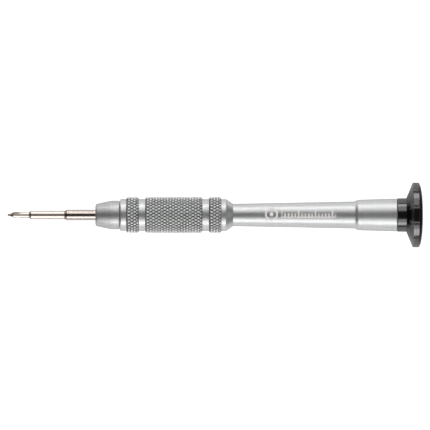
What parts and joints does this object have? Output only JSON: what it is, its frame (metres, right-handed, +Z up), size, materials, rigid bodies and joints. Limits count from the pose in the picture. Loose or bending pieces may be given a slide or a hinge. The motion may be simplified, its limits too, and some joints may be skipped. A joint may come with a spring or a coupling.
{
  "type": "watchmaker screwdriver",
  "caption": "Slim precision screwdriver: stepped steel blade in a collet chuck, knurled satin aluminium handle, and a black finger cap that spins on a ball bearing.",
  "frame": {"origin": "the point of the blade's tip, on the tool's axis", "axes": "+X runs along the tool's axis from the tip to the finger cap; +Z is up with the tool held level; +Y completes a right-handed frame"},
  "size_m": [0.118, 0.0184, 0.0185],
  "materials": {
    "satin_aluminium": "satin, finely turned",
    "black_aluminium": "black anodised satin",
    "blade_steel": "ground and lightly polished",
    "collet_brass": "turned",
    "spacer_brass": "turned",
    "bearing_steel": "ground and polished",
    "ball_steel": "polished",
    "pressed_steel": "pressed sheet",
    "spring_steel": "oiled spring steel",
    "machine_steel": "turned"
  },
  "bodies": {
    "handle": {"handle_body": "satin_aluminium", "spindle": "machine_steel", "bearing_spacer": "spacer_brass", "bearing_inner_ring": "bearing_steel", "clamp_washer": "machine_steel", "retaining_screw": "machine_steel"},
    "blade": {"blade": "blade_steel"},
    "collet": {"collet": "collet_brass"},
    "nose": {"chuck_nose": "satin_aluminium"},
    "cap": {"swivel_cap": "black_aluminium", "bearing_outer_ring": "bearing_steel", "front_shield": "pressed_steel", "rear_shield": "pressed_steel", "front_snap_ring": "spring_steel", "rear_snap_ring": "spring_steel", "bearing_circlip": "spring_steel", "cap_cover": "black_aluminium"},
    "cage": {"bearing_cage": "pressed_steel"},
    "ball_1": {"bearing_ball_1": "ball_steel"},
    "ball_2": {"bearing_ball_2": "ball_steel"},
    "ball_3": {"bearing_ball_3": "ball_steel"},
    "ball_4": {"bearing_ball_4": "ball_steel"},
    "ball_5": {"bearing_ball_5": "ball_steel"},
    "ball_6": {"bearing_ball_6": "ball_steel"},
    "ball_7": {"bearing_ball_7": "ball_steel"}
  },
  "joints": [
    {"name": "collet_slide", "type": "slide", "parent": "handle", "child": "collet", "axis": [-1, 0, 0], "range_m": [0, 0.003]},
    {"name": "nose_turn", "type": "hinge", "parent": "collet", "child": "nose", "pos_m": [0.0285, 0, 0], "axis": [-1, 0, 0], "range_deg": [0, 1440]},
    {"name": "blade_slide", "type": "slide", "parent": "handle", "child": "blade", "axis": [-1, 0, 0], "range_m": [0, 0.014]},
    {"name": "cap_spin", "type": "hinge", "parent": "handle", "child": "cap", "pos_m": [0.1141, 0, 0], "axis": [1, 0, 0], "continuous": true},
    {"name": "cage_spin", "type": "hinge", "parent": "handle", "child": "cage", "pos_m": [0.1141, 0, 0], "axis": [1, 0, 0], "continuous": true},
    {"name": "ball_1_spin", "type": "hinge", "parent": "cage", "child": "ball_1", "pos_m": [0.1141, 0.00275, 0], "axis": [1, 0, 0], "continuous": true},
    {"name": "ball_2_spin", "type": "hinge", "parent": "cage", "child": "ball_2", "pos_m": [0.1141, 0.00171, 0.00215], "axis": [1, 0, 0], "continuous": true},
    {"name": "ball_3_spin", "type": "hinge", "parent": "cage", "child": "ball_3", "pos_m": [0.1141, -0.00061, 0.00268], "axis": [1, 0, 0], "continuous": true},
    {"name": "ball_4_spin", "type": "hinge", "parent": "cage", "child": "ball_4", "pos_m": [0.1141, -0.00248, 0.00119], "axis": [1, 0, 0], "continuous": true},
    {"name": "ball_5_spin", "type": "hinge", "parent": "cage", "child": "ball_5", "pos_m": [0.1141, -0.00248, -0.00119], "axis": [1, 0, 0], "continuous": true},
    {"name": "ball_6_spin", "type": "hinge", "parent": "cage", "child": "ball_6", "pos_m": [0.1141, -0.00061, -0.00268], "axis": [1, 0, 0], "continuous": true},
    {"name": "ball_7_spin", "type": "hinge", "parent": "cage", "child": "ball_7", "pos_m": [0.1141, 0.00171, -0.00215], "axis": [1, 0, 0], "continuous": true}
  ],
  "couplings": [
    {"joint": "nose_turn", "follows": "collet_slide", "rad_per_m": 8377.6},
    {"joint": "cage_spin", "follows": "cap_spin", "ratio": 0.60909},
    {"joint": "ball_1_spin", "follows": "cap_spin", "ratio": 2.1826},
    {"joint": "ball_2_spin", "follows": "cap_spin", "ratio": 2.1826},
    {"joint": "ball_3_spin", "follows": "cap_spin", "ratio": 2.1826},
    {"joint": "ball_4_spin", "follows": "cap_spin", "ratio": 2.1826},
    {"joint": "ball_5_spin", "follows": "cap_spin", "ratio": 2.1826},
    {"joint": "ball_6_spin", "follows": "cap_spin", "ratio": 2.1826},
    {"joint": "ball_7_spin", "follows": "cap_spin", "ratio": 2.1826}
  ]
}
